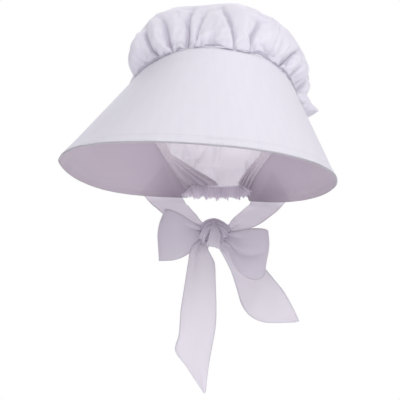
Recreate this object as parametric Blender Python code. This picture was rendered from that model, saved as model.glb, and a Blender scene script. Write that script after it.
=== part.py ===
"""Maid bonnet: a stiff ruled brim, a gathered crown and a pair of ribbon ties
knotted in a bow below.  Millimetres are used throughout and turned into metres
when a mesh is made.  The front is -Y, +X is on the viewer's right and the
origin is where the top of the wearer's head bears, inside the crown."""

import math

import bpy
import numpy as np

MM = 0.001

# Driving dimensions

BRIM_WALL = 2.0
CROWN_WALL = 1.3
BAND_WALL = 1.2
FRILL_WALL = 1.0
RIBBON_WALL = 1.0

RIM_HALF_WIDTH = 136.6
RIM_MIDDLE_Y = -38.0
RIM_FRONT_REACH = 106.0
RIM_BACK_REACH = 122.5
RIM_FULLNESS = 0.84
RIM_HEIGHT = -157.2
RIM_SLOPE = 0.224
RIM_SHIFT_X = -4.9
RIM_BACK_DROOP = 3.0

SEAM_SHIFT_X = 2.5

DOME_MIDDLE = (3.5, 20.0, -104.0)
DOME_HALF_WIDTH = 90.5
DOME_RADIUS = 114.0
DOME_NAPE_RADIUS = 98.0
DOME_BOXINESS = 2.8
DOME_AXIS = (0.0, 0.762, 0.647)

CROWN_AROUND = 124
CROWN_UP = 11
BRIM_AROUND = 76
BRIM_ACROSS = 3

# The seam from the top of the forehead to the nape, one side of it, and the
# rim angle in degrees that each seam station is ruled to.
SEAM = [  # x, y, z, rim angle
    (0.0, -73.0, -37.0, 0.0),
    (26.0, -68.0, -39.5, 14.0),
    (51.0, -49.0, -45.0, 38.0),
    (75.0, -18.0, -59.0, 68.0),
    (89.0, 16.0, -83.0, 94.0),
    (82.0, 42.0, -104.0, 115.0),
    (66.0, 60.0, -122.0, 132.0),
    (44.0, 76.0, -151.0, 153.0),
    (26.0, 84.0, -173.0, 171.5),
]
NAPE_MIDDLE = (0.0, 88.0, -165.0)

# Folds of the crown that run up from the seam: where the foot and the head lie
# along the seam (-1 at one ear end, 0 in front, 1 at the other), how far up the
# crown the fold reaches, its depth (a ridge is positive) and its half width.
FOLDS = [  # foot, head, reach, depth, half width
    (-0.178, -0.330, 0.62, -9.0, 0.022),
    (-0.300, -0.380, 0.55, 5.0, 0.060),
    (-0.150, -0.190, 0.50, 4.0, 0.018),
    (-0.115, -0.160, 0.60, -6.5, 0.020),
    (-0.075, -0.110, 0.50, 3.0, 0.020),
    (-0.060, -0.030, 0.66, -7.0, 0.022),
    (-0.015, 0.030, 0.42, -3.0, 0.012),
    (0.012, 0.045, 0.60, 3.5, 0.022),
    (0.035, 0.060, 0.60, -6.0, 0.018),
    (0.110, 0.130, 0.70, 5.0, 0.070),
    (0.155, 0.180, 0.34, -3.5, 0.012),
    (0.225, 0.240, 0.50, 3.5, 0.040),
    (0.262, 0.330, 0.42, -6.0, 0.016),
    (0.310, 0.370, 0.34, 3.0, 0.020),
    (0.345, 0.420, 0.34, -4.5, 0.014),
    (0.385, 0.460, 0.30, -4.0, 0.012),
    (0.425, 0.500, 0.32, -4.5, 0.014),
    (0.480, 0.520, 0.34, 4.0, 0.030),
    (0.540, 0.575, 0.42, -6.0, 0.022),
    (0.640, 0.660, 0.50, -6.5, 0.026),
    (0.740, 0.745, 0.46, -6.0, 0.024),
    (0.850, 0.850, 0.44, -5.5, 0.024),
    (-0.430, -0.470, 0.40, -5.5, 0.020),
    (-0.520, -0.560, 0.46, -6.0, 0.024),
    (-0.630, -0.650, 0.50, -6.5, 0.026),
    (-0.735, -0.740, 0.46, -6.0, 0.024),
    (-0.850, -0.850, 0.44, -5.5, 0.024),
]


# Vectors and curves


def unit(vectors):
    vectors = np.asarray(vectors, float)
    return vectors / np.linalg.norm(vectors, axis=-1, keepdims=True)


def smooth_through(stations, at):
    """A smooth curve through the stations, read at the fractions of its length."""
    stations = np.asarray(stations, float)
    steps = np.linalg.norm(np.diff(stations[:, :3], axis=0), axis=1)
    where = np.concatenate([[0.0], np.cumsum(np.sqrt(steps))])
    where /= where[-1]
    slopes = np.gradient(stations, where, axis=0)
    at = np.clip(np.atleast_1d(at), 0.0, 1.0)
    index = np.clip(np.searchsorted(where, at, side="right") - 1, 0, len(where) - 2)
    span = (where[index + 1] - where[index])[:, None]
    t = (at[:, None] - where[index][:, None]) / span
    return (
        (2 * t**3 - 3 * t**2 + 1) * stations[index]
        + (t**3 - 2 * t**2 + t) * span * slopes[index]
        + (3 * t**2 - 2 * t**3) * stations[index + 1]
        + (t**3 - t**2) * span * slopes[index + 1]
    )


def evenly(curve, count):
    """Fractions at which the curve is cut into equal lengths."""
    fine = np.linspace(0.0, 1.0, 800)
    points = curve(fine)[:, :3]
    steps = np.linalg.norm(np.diff(points, axis=0), axis=1)
    run = np.concatenate([[0.0], np.cumsum(steps)])
    return np.interp(np.linspace(0.0, run[-1], count), run, fine)


def whole_seam():
    side = np.array(SEAM)
    other = side[:0:-1] * np.array([-1.0, 1.0, 1.0, -1.0])
    stations = np.vstack([other, side])
    stations[:, 0] += SEAM_SHIFT_X
    return lambda at: smooth_through(stations, at)


def rim_point(degrees):
    turn = np.radians(degrees)
    across = np.sign(np.sin(turn)) * np.abs(np.sin(turn)) ** RIM_FULLNESS
    reach = np.where(np.cos(turn) > 0, RIM_FRONT_REACH, RIM_BACK_REACH)
    nape = ((1 - np.cos(turn)) / 2) ** 16
    shift = RIM_SHIFT_X + (SEAM_SHIFT_X - RIM_SHIFT_X) * nape
    droop = RIM_BACK_DROOP * np.clip(-np.sin(2 * np.abs(turn)), 0, 1) * (np.cos(turn) < 0)
    return np.stack(
        [
            shift + RIM_HALF_WIDTH * across,
            RIM_MIDDLE_Y - reach * np.cos(turn),
            RIM_HEIGHT + RIM_SLOPE * reach * np.cos(turn) - droop,
        ],
        axis=-1,
    )


# Making a closed sheet of cloth from a grid of points


def grid_normals(grid, ring):
    if ring:
        along = np.roll(grid, -1, axis=0) - np.roll(grid, 1, axis=0)
    else:
        along = np.gradient(grid, axis=0)
    across = np.gradient(grid, axis=1)
    return unit(np.cross(along, across) + 1e-12)


def cloth(name, grid, wall, tint, ring=False, tip=False):
    """Thickens the grid (rows, columns, 3) evenly to both sides.  A ring is
    closed row to row, and a tip draws its last column into one point."""
    grid = np.asarray(grid, float)
    rows, columns = grid.shape[:2]
    normals = grid_normals(grid, ring)
    if tip:
        normals[:, -1] = unit(normals[:, -2].mean(axis=0))
    sides = [grid + normals * wall / 2, grid - normals * wall / 2]
    points, index = [], []
    for side in sides:
        start = len(points)
        body = columns - 1 if tip else columns
        table = start + np.arange(rows * body).reshape(rows, body)
        points.extend(side[:, :body].reshape(-1, 3))
        if tip:
            points.append(side[:, -1].mean(axis=0))
            table = np.column_stack([table, np.full(rows, len(points) - 1)])
        index.append(table)
    faces = []

    def quad(a, b, c, d):
        corners = list(dict.fromkeys([int(a), int(b), int(c), int(d)]))
        if len(corners) > 2:
            faces.append(corners)

    top, low = index
    for i in range(rows if ring else rows - 1):
        k = (i + 1) % rows
        for j in range(columns - 1):
            quad(top[i, j], top[k, j], top[k, j + 1], top[i, j + 1])
            quad(low[i, j], low[i, j + 1], low[k, j + 1], low[k, j])
        quad(top[i, 0], low[i, 0], low[k, 0], top[k, 0])
        if not tip:
            quad(top[i, -1], top[k, -1], low[k, -1], low[i, -1])
    if not ring:
        for j in range(columns - 1):
            quad(top[0, j], top[0, j + 1], low[0, j + 1], low[0, j])
            quad(top[-1, j + 1], top[-1, j], low[-1, j], low[-1, j + 1])
    return solid(name, points, faces, tint)


def solid(name, points, faces, tint):
    mesh = bpy.data.meshes.new(name)
    mesh.from_pydata([tuple(point * MM) for point in np.asarray(points)], [], faces)
    mesh.validate()
    mesh.materials.append(tint)
    body = bpy.data.objects.new(name, mesh)
    bpy.context.scene.collection.objects.link(body)
    return body


def tinted(name, colour, roughness=0.9):
    material = bpy.data.materials.new(name)
    material.use_nodes = True
    shader = next(n for n in material.node_tree.nodes if n.type == "BSDF_PRINCIPLED")
    shader.inputs["Base Color"].default_value = (*colour, 1.0)
    shader.inputs["Roughness"].default_value = roughness
    return material


# The brim


def brim_line(at):
    """Seam points, rim points and the brim's outward direction at each place."""
    seam = whole_seam()(at)
    foot, rim = seam[:, :3], rim_point(seam[:, 3])
    return foot, rim, unit(rim - foot)


def inward(foot, outward, tangent):
    """Square to the seam and to the brim, on the side of the head."""
    towards = np.array([0.0, 5.0, -100.0]) - foot
    for axis in (outward, tangent):
        towards = towards - (towards * axis).sum(axis=1, keepdims=True) * axis
    return unit(towards)


def brim():
    at = evenly(whole_seam(), BRIM_AROUND + 1)
    foot, rim, outward = brim_line(at)
    start = foot + outward * 1.6
    across = np.linspace(0.0, 1.0, BRIM_ACROSS + 1)
    grid = start[:, None] + (rim - start)[:, None] * across[None, :, None]
    return cloth("brim", grid[:, ::-1], BRIM_WALL, WHITE)


# The crown


def crown_edge(count):
    """The loop that the crown is gathered on: the seam, then the nape elastic."""
    seam = whole_seam()
    points = seam(evenly(seam, 401))[:, :3]
    nape = smooth_through([points[-1], NAPE_MIDDLE, points[0]], np.linspace(0, 1, 61))
    loop = np.vstack([points, nape[1:-1, :3]])
    place = np.concatenate([np.linspace(-1, 1, 401), np.linspace(1, 1.2, 61)[1:-1]])
    ends = np.vstack([loop, loop[:1]])
    run = np.concatenate([[0.0], np.cumsum(np.linalg.norm(np.diff(ends, axis=0), axis=1))])
    at = np.linspace(0.0, run[-1], count, endpoint=False)
    edge = np.column_stack([np.interp(at, run, ends[:, k]) for k in range(3)])
    return edge, np.interp(at, run, np.append(place, 1.2))


def fold_depth(place, up):
    """How far the folds lift or sink the crown at a place and a height."""
    depth = np.zeros(np.broadcast(place, up).shape)
    for foot, head, reach, deep, half in FOLDS:
        centre = foot + (head - foot) * np.clip(up / reach, 0, 1)
        width = half * (1.0 + 1.6 * up / reach)
        profile = np.exp(-(((place - centre) / width) ** 2))
        swell = np.clip(up / 0.05, 0, 1) * np.clip(1 - (up / reach) ** 2, 0, 1)
        depth += deep * profile * swell
    ripple = np.sin(2 * math.pi * 21 * place) * np.exp(-(((up - 0.09) / 0.08) ** 2))
    return depth + 1.4 * ripple


def crown():
    edge, place = crown_edge(CROWN_AROUND)
    middle = np.array(DOME_MIDDLE)
    pole = unit(DOME_AXIS)
    reach = np.linalg.norm(edge - middle, axis=1)
    start = (edge - middle) / reach[:, None]
    angle = np.arccos(start @ pole)
    grid = np.zeros((CROWN_AROUND, CROWN_UP + 1, 3))
    heights = np.linspace(0.0, 1.0, CROWN_UP + 1) ** 1.25
    for j, up in enumerate(heights):
        turn = angle * up
        way = (np.sin(angle - turn) / np.sin(angle))[:, None] * start
        way = way + (np.sin(turn) / np.sin(angle))[:, None] * pole
        low = np.clip(-way[:, 2] * 1.3, 0, 1)
        radius = DOME_RADIUS + (DOME_NAPE_RADIUS - DOME_RADIUS) * low
        flat = np.hypot(way[:, 1], way[:, 2]) / radius
        dome = (np.abs(way[:, 0] / DOME_HALF_WIDTH) ** DOME_BOXINESS + flat**DOME_BOXINESS)
        dome = dome ** (-1 / DOME_BOXINESS)
        rise = 1 - (1 - min(up / 0.22, 1.0)) ** 2
        puff = 6.0 * math.sin(math.pi * min(up / 0.5, 1.0)) * (way[:, 1] < 0.4)
        size = reach + (dome - reach) * rise + puff
        size = size + fold_depth(place, up)
        grid[:, j] = middle + way * size[:, None]
    first = grid[:, 1] - grid[:, 0]
    grid[:, 0] += unit(first) * 1.2
    return cloth("crown", grid, CROWN_WALL, WHITE, ring=True, tip=True)


# Inside band and nape frill


def seam_band():
    """The binding that covers the seam inside the bonnet."""
    at = evenly(whole_seam(), 53)[1:-1]
    foot, rim, outward = brim_line(at)
    inside = inward(foot, outward, unit(np.gradient(foot, axis=0)))
    pole = np.array(DOME_MIDDLE) + 60.0 * unit(DOME_AXIS)
    up = unit(pole - foot)
    up = unit(up - 0.5 * (up * outward).sum(axis=1, keepdims=True) * outward)
    grid = np.stack(
        [foot + outward * 2.5 + inside * 2.2, foot + inside * 2.4 + up * 1.5,
         foot + inside * 3.4 + up * 7.0],
        axis=1,
    )
    return cloth("seam_band", grid[:, ::-1], BAND_WALL, WHITE)


def nape_frill():
    """The gathered edge that hangs below the elastic, between the brim's ends."""
    edge, place = crown_edge(800)
    nape = edge[(place > 1.0) & (place < 1.2)]
    line = smooth_through(nape[:: max(1, len(nape) // 12)], np.linspace(0.01, 0.99, 47))
    count = len(line)
    wave = np.sin(np.arange(count) * math.pi / 2.0)
    drop = 9.5 + 3.5 * np.abs(np.linspace(-1, 1, count))
    grid = np.zeros((count, 3, 3))
    for j, share in enumerate((0.0, 0.45, 1.0)):
        grid[:, j] = line - [0, 0, 2.0]
        grid[:, j, 2] -= share * drop + 0.8 * share * wave
        grid[:, j, 1] += 1.8 * share * wave - 1.0 * share
    return cloth("nape_frill", grid, FRILL_WALL, WHITE)


# Ribbons


def ribbon(name, rows, along, across, ripple=0.0, waves=1.0):
    """A ribbon laid between its two edges.  Each row holds the left edge, the
    right edge and how far the middle bellies towards the front."""
    table = np.array(rows, float)
    path = smooth_through(table, np.linspace(0.0, 1.0, along))
    left, right, belly = path[:, 0:3], path[:, 3:6], path[:, 6:7]
    share = np.linspace(0.0, 1.0, across)
    grid = left[:, None] + (right - left)[:, None] * share[None, :, None]
    along_axis = unit(np.gradient((left + right) / 2, axis=0))
    front = unit(np.cross(along_axis, right - left))
    front *= np.where(front[:, 1:2] > 0, -1.0, 1.0)
    lift = np.sin(math.pi * share)[None, :] * belly
    lift = lift + ripple * np.sin(2 * math.pi * waves * share)[None, :]
    grid = grid + front[:, None] * lift[:, :, None]
    return cloth(name, grid, RIBBON_WALL, RIBBON)


def ties():
    ribbon(
        "tie_left",
        [  # left edge x y z, right edge x y z, belly
            (-54.0, 80.5, -150.0, -47.0, 83.5, -150.0, 0.0),
            (-63.0, 80.5, -166.0, -37.0, 89.0, -167.0, 0.0),
            (-71.0, 80.0, -187.0, -27.3, 90.5, -188.0, 0.0),
            (-68.5, 73.5, -191.0, -23.5, 80.0, -191.0, 0.5),
            (-61.0, 60.0, -194.0, -18.0, 62.0, -191.5, 1.0),
            (-42.5, 30.0, -202.5, -12.5, 32.0, -194.5, 2.0),
            (-23.5, 0.0, -211.5, -5.5, 0.0, -200.5, 2.0),
            (0.3, -25.0, -215.6, 5.4, -24.6, -206.1, 1.0),
        ],
        20, 5,
    )
    ribbon(
        "tie_right",
        [  # left edge x y z, right edge x y z, belly
            (53.0, 83.0, -148.0, 60.0, 80.0, -147.5, 0.0),
            (44.5, 88.5, -165.0, 69.5, 80.5, -163.5, 0.0),
            (38.5, 90.5, -187.5, 77.0, 79.5, -186.5, 0.0),
            (37.0, 79.5, -190.0, 74.5, 71.5, -191.0, 0.5),
            (36.5, 60.0, -190.0, 69.0, 52.0, -195.0, 1.0),
            (33.0, 30.0, -193.0, 60.0, 26.0, -202.0, 2.0),
            (30.0, 2.0, -199.5, 47.5, 0.0, -209.0, 2.0),
            (25.1, -24.2, -206.3, 28.1, -24.7, -213.1, 1.0),
        ],
        20, 5,
    )


def knot():
    """A wrapped lump with slanting folds."""
    rings, spokes = 13, 24
    middle = np.array([15.5, -31.0, -215.0])
    half = np.array([13.6, 9.0, 13.8])
    points = [middle + [0, 0, half[2]]]
    for i in range(1, rings):
        tall = math.pi * i / rings
        for k in range(spokes):
            turn = 2 * math.pi * k / spokes
            way = np.array(
                [math.sin(tall) * math.cos(turn), math.sin(tall) * math.sin(turn), math.cos(tall)]
            )
            size = (np.abs(way) ** 2.6).sum() ** (-1 / 2.6)
            slant = way[0] * 0.85 + way[2] * 0.75
            crease = 0.075 * math.cos(slant * 8.2 + 0.6) * math.sin(tall)
            points.append(middle + way * half * size * (1.0 + crease))
    points.append(middle - [0, 0, half[2]])
    ring = lambda i, k: 1 + (i - 1) * spokes + k % spokes
    faces = []
    for k in range(spokes):
        faces.append([0, ring(1, k), ring(1, k + 1)])
        faces.append([len(points) - 1, ring(rings - 1, k + 1), ring(rings - 1, k)])
        for i in range(1, rings - 1):
            faces.append([ring(i, k), ring(i + 1, k), ring(i + 1, k + 1), ring(i, k + 1)])
    solid("bow_knot", points, faces, RIBBON)


def loops():
    ribbon(
        "bow_loop_left",
        [  # top edge x y z, low edge x y z, belly: out behind, back in front
            (1.0, -27.0, -207.0, 0.6, -27.0, -216.0, 0.0),
            (-14.0, -25.0, -200.5, -12.0, -25.0, -228.0, -1.0),
            (-28.0, -24.0, -194.5, -26.0, -24.0, -238.0, -2.0),
            (-38.0, -27.0, -193.0, -38.0, -27.0, -244.5, 0.0),
            (-41.0, -33.0, -199.0, -39.0, -33.0, -245.0, 0.0),
            (-37.0, -39.0, -200.5, -34.0, -39.0, -244.0, 1.0),
            (-24.0, -42.0, -202.5, -21.0, -42.0, -240.5, 3.0),
            (-10.0, -39.0, -206.0, -9.0, -39.0, -232.5, 2.5),
            (1.65, -35.0, -210.0, 0.95, -35.0, -219.7, 1.0),
        ],
        26, 6, ripple=0.8, waves=1.5,
    )
    ribbon(
        "bow_loop_right",
        [  # top edge x y z, low edge x y z, belly: out behind, back in front
            (30.6, -27.0, -209.5, 30.4, -27.0, -219.0, 0.0),
            (44.0, -25.0, -207.5, 41.0, -25.0, -234.0, -1.0),
            (57.0, -24.0, -205.5, 52.0, -24.0, -249.0, -2.0),
            (66.5, -28.0, -207.0, 63.0, -28.0, -256.0, 0.0),
            (68.5, -34.0, -210.5, 66.5, -34.0, -252.0, 0.0),
            (64.0, -40.0, -212.5, 58.0, -40.0, -257.0, 1.0),
            (53.0, -43.0, -213.0, 47.0, -43.0, -256.0, 3.0),
            (41.0, -40.0, -214.0, 36.5, -40.0, -240.0, 2.5),
            (30.0, -35.0, -214.5, 28.9, -35.0, -224.0, 1.0),
        ],
        26, 6, ripple=0.8, waves=1.5,
    )


def tails():
    ribbon(
        "bow_tail_left",
        [  # left edge x y z, right edge x y z, belly
            (1.6, -37.0, -220.4, 9.0, -37.4, -228.4, 0.0),
            (-7.0, -45.5, -231.0, 12.6, -44.0, -235.5, 1.0),
            (-9.0, -47.0, -246.0, 17.0, -45.0, -243.5, 2.0),
            (-10.9, -46.5, -266.0, 18.9, -44.0, -262.0, 2.0),
            (-13.3, -45.0, -290.6, 20.9, -42.0, -284.0, 1.5),
            (-13.9, -43.0, -314.2, 21.3, -41.0, -305.0, 1.5),
            (-16.5, -42.0, -330.1, 19.0, -40.0, -325.0, 1.0),
            (-5.2, -41.0, -345.0, 17.0, -40.0, -342.0, 0.5),
            (14.0, -40.0, -370.8, 15.5, -40.0, -368.0, 0.0),
        ],
        20, 5,
    )
    ribbon(
        "bow_tail_right",
        [  # left edge x y z, right edge x y z, belly
            (19.0, -27.9, -229.2, 26.8, -25.0, -225.7, 0.0),
            (24.6, -21.5, -239.0, 42.0, -18.5, -231.0, -0.5),
            (31.2, -20.0, -250.5, 58.0, -17.0, -240.0, -1.0),
            (37.6, -19.0, -266.5, 73.0, -17.5, -255.0, 0.0),
            (44.5, -20.0, -284.0, 85.0, -19.0, -268.0, 1.0),
            (53.0, -22.0, -293.5, 93.0, -21.0, -280.0, 1.0),
            (66.0, -24.0, -298.5, 99.0, -23.0, -290.5, 0.5),
            (97.0, -25.0, -296.6, 101.5, -25.0, -295.2, 0.0),
        ],
        18, 5,
    )


for stale in list(bpy.data.objects):
    bpy.data.objects.remove(stale, do_unlink=True)

WHITE = tinted("white cotton", (0.78, 0.76, 0.84))
RIBBON = tinted("white ribbon", (0.66, 0.62, 0.70), 0.75)

brim()
crown()
seam_band()
nape_frill()
ties()
knot()
loops()
tails()
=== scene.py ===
# %% [markdown]
# # A maid's bonnet
#
# The real thing is white cotton: a stiff slanted brim, a round of thin cloth
# gathered on to it as a crown, and two ribbons tied in a bow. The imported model
# already holds its sizes as plain shells. This lesson dresses them: every cell
# makes one piece or one finish, says why it is made that way, and prints what
# came out of it.
#
# Lengths are in millimetres until a mesh is made. The front is -Y, up is +Z, and
# the origin is where the top of a head would bear inside the crown.

import math

import bmesh
import bpy
import numpy as np
from mathutils import Matrix, Vector


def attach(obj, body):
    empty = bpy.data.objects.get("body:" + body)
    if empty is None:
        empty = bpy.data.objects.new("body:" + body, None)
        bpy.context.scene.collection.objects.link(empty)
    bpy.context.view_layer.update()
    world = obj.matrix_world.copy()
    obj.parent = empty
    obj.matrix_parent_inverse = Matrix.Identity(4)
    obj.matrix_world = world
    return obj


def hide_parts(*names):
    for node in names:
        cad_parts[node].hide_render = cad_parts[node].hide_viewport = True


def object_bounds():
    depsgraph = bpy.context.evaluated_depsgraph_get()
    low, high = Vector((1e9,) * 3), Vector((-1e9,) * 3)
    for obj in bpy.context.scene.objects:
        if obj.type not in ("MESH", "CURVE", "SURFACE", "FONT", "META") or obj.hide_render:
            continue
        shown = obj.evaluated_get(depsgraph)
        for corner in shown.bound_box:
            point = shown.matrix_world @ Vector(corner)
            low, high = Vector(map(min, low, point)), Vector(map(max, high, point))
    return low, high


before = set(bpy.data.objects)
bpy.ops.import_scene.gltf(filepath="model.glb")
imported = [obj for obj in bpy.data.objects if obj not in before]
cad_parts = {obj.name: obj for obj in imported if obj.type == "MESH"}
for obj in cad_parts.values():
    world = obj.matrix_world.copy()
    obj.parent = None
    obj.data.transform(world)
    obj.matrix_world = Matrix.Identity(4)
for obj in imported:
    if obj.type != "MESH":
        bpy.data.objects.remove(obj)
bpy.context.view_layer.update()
MM = 0.001

# %% [markdown]
# ## Camera and light first
#
# The picture was taken level with the middle of the bonnet, from a little to its
# left, with the bonnet leaning slightly. A long lens far away keeps the brim's
# two tips nearly alike, so the camera stands 1.4 m off. The lens is worked out
# so that 400 mm fill the square picture at that distance.

# %% The camera
CAMERA_DISTANCE, FIELD, SENSOR = 1400.0, 400.0, 36.0
CAMERA_TURN, CAMERA_ROLL = 5.0, 3.5  # degrees
VIEW_ACROSS, VIEW_HEIGHT = -5.0, -183.0  # the point that it looks at


def placed(name, data):
    """A new object in the scene that holds the data."""
    thing = bpy.data.objects.new(name, data)
    bpy.context.scene.collection.objects.link(thing)
    return thing


def place_camera():
    turn, roll = math.radians(CAMERA_TURN), math.radians(CAMERA_ROLL)
    ahead = Vector((-math.sin(turn), math.cos(turn), 0))
    side, up = Vector((math.cos(turn), math.sin(turn), 0)), Vector((0, 0, 1))
    right = side * math.cos(roll) + up * math.sin(roll)
    top = up * math.cos(roll) - side * math.sin(roll)
    spot = side * VIEW_ACROSS + up * VIEW_HEIGHT - ahead * CAMERA_DISTANCE
    data = bpy.data.cameras.new("camera")
    data.sensor_width, data.lens = SENSOR, SENSOR * CAMERA_DISTANCE / FIELD
    data.clip_start, data.clip_end = 0.05, 20.0
    camera = placed("camera", data)
    turned = Matrix((right, top, -ahead)).transposed().to_4x4()
    camera.matrix_world = Matrix.Translation(spot * MM) @ turned
    bpy.context.scene.camera = camera
    return camera


print("lens", round(place_camera().data.lens, 1), "mm")

# %% [markdown]
# White cloth only reads as white when light comes from everywhere, and its folds
# only read when one side gets a little more. So the world is an even white, and
# large lamps add direction: a key from the upper right, one low from the front,
# one behind so that thin cloth glows, and one on the far right. The floor is
# far enough below the tails to catch no shadow worth seeing.

# %% Floor, world and lamps
FLOOR_DROP, FLOOR_REACH = 600.0, 1600.0
ROOM_LIGHT = 0.52  # what the white room sheds; the camera sees it as pure white
AIMED_AT = (0, 0, -0.15)
LAMPS = [  # name, place in metres, width, watts
    ("key", (0.5, -1.2, 1.5), 0.45, 17.8),
    ("low", (0.0, -1.3, -1.0), 0.8, 15.5),
    ("back", (-0.5, 1.5, 0.9), 1.0, 18.5),
    ("side", (1.6, 0.1, 0.4), 0.8, 5.6),
]


def flat_floor():
    low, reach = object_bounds()[0][2] - FLOOR_DROP * MM, FLOOR_REACH * MM
    corners = [(-reach, -reach), (reach, -reach), (reach, reach), (-reach, reach)]
    mesh = bpy.data.meshes.new("floor")
    mesh.from_pydata([(x, y, low) for x, y in corners], [], [(0, 1, 2, 3)])
    material = bpy.data.materials.new("pale floor")
    material.use_nodes = True
    shader = material.node_tree.nodes["Principled BSDF"]
    shader.inputs["Base Color"].default_value = (0.97, 0.97, 0.97, 1)
    shader.inputs["Roughness"].default_value = 1.0
    shader.inputs["Specular IOR Level"].default_value = 0.0
    mesh.materials.append(material)
    placed("floor", mesh)


def soft_lamp(name, spot, size, power):
    data = bpy.data.lights.new(name, "AREA")
    data.shape, data.size, data.energy = "DISK", size, power
    aim = Vector(AIMED_AT) - Vector(spot)
    turned = aim.to_track_quat("-Z", "Y").to_matrix().to_4x4()
    placed(name, data).matrix_world = Matrix.Translation(spot) @ turned


def white_room():
    world = bpy.data.worlds.new("white room")
    world.use_nodes = True
    nodes, links = world.node_tree.nodes, world.node_tree.links
    sky = nodes["Background"]
    sky.inputs["Color"].default_value = (1.0, 1.0, 1.0, 1)
    ray, pick = nodes.new("ShaderNodeLightPath"), nodes.new("ShaderNodeMapRange")
    links.new(ray.outputs["Is Camera Ray"], pick.inputs["Value"])
    pick.inputs["To Min"].default_value, pick.inputs["To Max"].default_value = ROOM_LIGHT, 1.0
    links.new(pick.outputs[0], sky.inputs["Strength"])
    bpy.context.scene.world = world
    view = bpy.context.scene.view_settings
    view.view_transform, view.look = "Standard", "None"
    view.exposure, view.gamma = 0.0, 1.0


flat_floor()
white_room()
for lamp in LAMPS:
    soft_lamp(*lamp)
print("lamps:", [lamp[0] for lamp in LAMPS])

# %% [markdown]
# ## Node trees written as sums
#
# A woven surface is mostly arithmetic on its coordinates, and so is a shape that
# nodes make. Building each sum from Math nodes by hand hides the idea, so a small
# class wraps one output socket and lets Python's own operators add the nodes.


# %% A wrapped socket
def both_ways(operation):
    """An operator and its reflected form, so that 1 - mask works as mask - 1 does."""
    return (
        lambda self, other: self.work(operation, self, other),
        lambda self, other: self.work(operation, other, self),
    )


class Wire:
    """One output socket of a node tree, on which sums can be written."""

    def __init__(self, nodes, socket):
        self.nodes, self.socket = nodes, socket

    def work(self, operation, *values):
        return self.nodes.add("ShaderNodeMath", {"operation": operation}, dict(enumerate(values)))

    __add__, __radd__ = both_ways("ADD")
    __sub__, __rsub__ = both_ways("SUBTRACT")
    __mul__, __rmul__ = both_ways("MULTIPLY")
    __truediv__, __rtruediv__ = both_ways("DIVIDE")
    __mod__, __rmod__ = both_ways("MODULO")

    def __abs__(self):
        return self.work("ABSOLUTE", self)

    def sine(self):
        return self.work("SINE", self)

    def floor(self):
        return self.work("FLOOR", self)

    def clipped(self):
        """Held between 0 and 1."""
        return self.work("MINIMUM", self.work("MAXIMUM", self, 0.0), 1.0)

    def ramp(self, start, end):
        """0 before start, 1 after end, and smooth between."""
        sockets = {"Value": self, "From Min": start, "From Max": end}
        settings = {"interpolation_type": "SMOOTHSTEP"}
        return self.nodes.add("ShaderNodeMapRange", settings, sockets, "Result")


print("a wire takes + - * / % and abs")


# %% A tree and a material to write on
class Nodes:
    """A node tree under construction."""

    def __init__(self, tree):
        self.tree = tree

    def add(self, kind, settings=None, sockets=None, output=0):
        """Adds a node, joins its inputs and returns one of its outputs."""
        node = self.tree.nodes.new(kind)
        for name, value in (settings or {}).items():
            setattr(node, name, value)
        for name, value in (sockets or {}).items():
            self.join(value, node.inputs[name])
        return Wire(self, node.outputs[output])

    def join(self, value, socket):
        if isinstance(value, Wire):
            self.tree.links.new(value.socket, socket)
        else:
            socket.default_value = value


class Paint(Nodes):
    """A material under construction, around its Principled shader."""

    def __init__(self, name):
        self.material = bpy.data.materials.new(name)
        self.material.use_nodes = True
        super().__init__(self.material.node_tree)
        self.shader = self.tree.nodes["Principled BSDF"]

    def set(self, **values):
        for name, value in values.items():
            self.join(value, self.shader.inputs[name.replace("_", " ")])

    def blend(self, share, first, second):
        """A colour between two. On this node, 6, 7 and 2 are the colour sockets."""
        sockets = {0: share, 6: first, 7: second}
        return self.add("ShaderNodeMix", {"data_type": "RGBA"}, sockets, 2)

    def noise(self, vector, scale, detail, roughness):
        sockets = {"Vector": vector, "Scale": scale, "Detail": detail, "Roughness": roughness}
        return self.add("ShaderNodeTexNoise", {}, sockets, "Fac")

    def stored(self, name):
        """A value that the mesh carries under this name."""
        return self.add("ShaderNodeAttribute", {"attribute_name": name}, {}, "Fac")

    def place(self):
        return self.add("ShaderNodeTexCoord", {}, {}, "Object")

    def split(self, vector):
        """The vector's x, y and z."""
        node = self.add("ShaderNodeSeparateXYZ", {}, {0: vector}).socket.node
        return [Wire(self, output) for output in node.outputs]

    def across_cloth(self):
        """The piece's own cloth coordinates in metres: both, along, and across."""
        uv = self.add("ShaderNodeUVMap", {"uv_map": "cloth"}, {}, "UV")
        return uv, *self.split(uv)[:2]

    def bump(self, height, strength, distance):
        sockets = {"Height": height, "Strength": strength, "Distance": distance}
        self.set(Normal=self.add("ShaderNodeBump", {}, sockets, "Normal"))

    def let_light_through(self, share, colour):
        """Mixes in a Translucent shader, for cloth thin enough to glow."""
        thin = self.add("ShaderNodeBsdfTranslucent", {}, {"Color": colour})
        whole = Wire(self, self.shader.outputs[0])
        mixed = self.add("ShaderNodeMixShader", {}, {0: share, 1: whole, 2: thin})
        self.join(mixed, self.tree.nodes["Material Output"].inputs["Surface"])


print("node helpers ready")
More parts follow.
